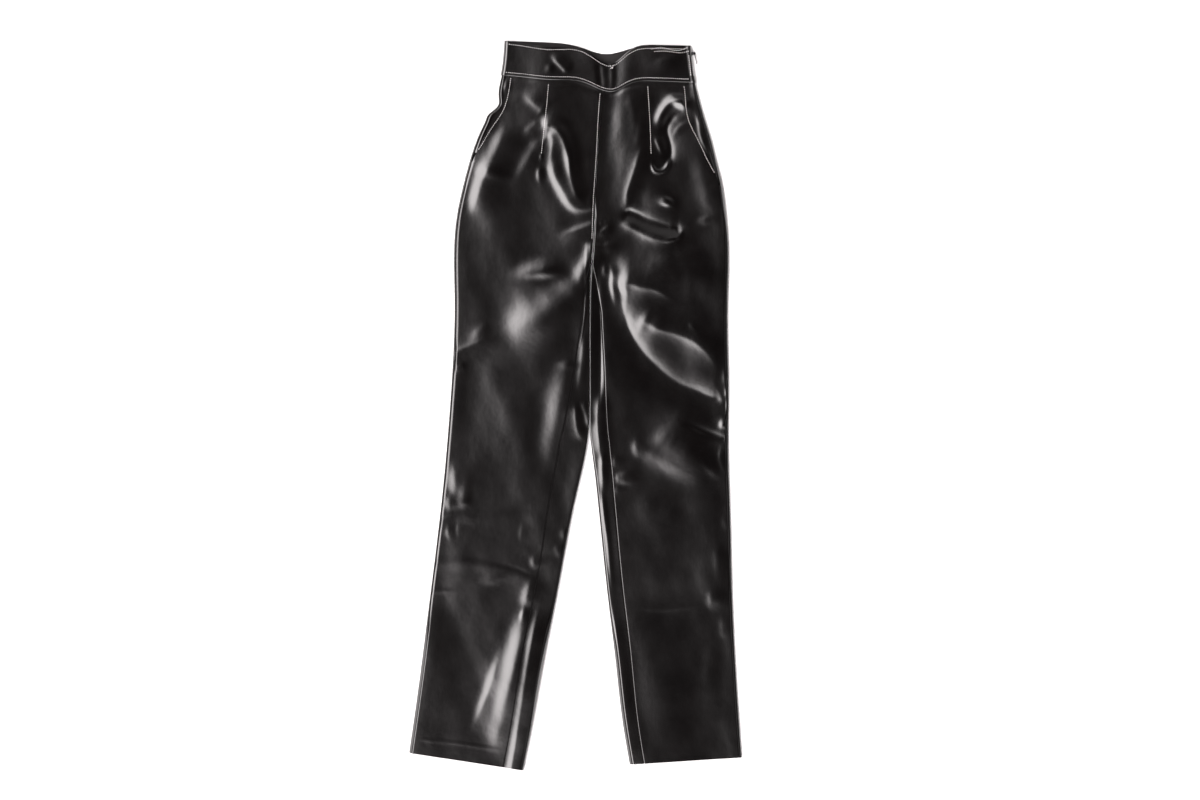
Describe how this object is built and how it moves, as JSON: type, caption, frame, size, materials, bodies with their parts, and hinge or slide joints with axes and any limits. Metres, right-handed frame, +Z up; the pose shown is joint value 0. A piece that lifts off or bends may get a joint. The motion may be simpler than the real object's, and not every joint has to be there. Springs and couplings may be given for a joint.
{
  "type": "trousers",
  "caption": "High-waisted slim faux leather trousers laid flat, with a shaped waistband, slanted pockets, darts and a side zip.",
  "frame": {"origin": "middle of the footprint, on the surface the trousers lie on", "axes": "+Z up out of the front of the laid garment, +Y to the waist, +X to the wearer's left leg"},
  "size_m": [0.4878, 1.0701, 0.0127],
  "materials": {
    "faux_leather": "glossy black coated cloth with a fine grain, worn over a knitted backing",
    "zip_tape": "black woven tape",
    "zip_metal": "black lacquered metal"
  },
  "bodies": {
    "trousers": {"front_panel_right": "faux_leather", "front_panel_left": "faux_leather", "back_panel_right": "faux_leather", "back_panel_left": "faux_leather", "waistband_front": "faux_leather", "waistband_back": "faux_leather", "pocket_facing_right": "faux_leather", "pocket_facing_left": "faux_leather", "zip_tape": "zip_tape", "zip_slider": "zip_metal"},
    "pull": {"zip_pull": "zip_metal"}
  },
  "joints": [
    {"name": "zip_pull_swing", "type": "hinge", "parent": "trousers", "child": "pull", "pos_m": [0.17444, 0.516, 0.0036], "axis": [0, 0, 1], "range_deg": [-8, 95]}
  ]
}
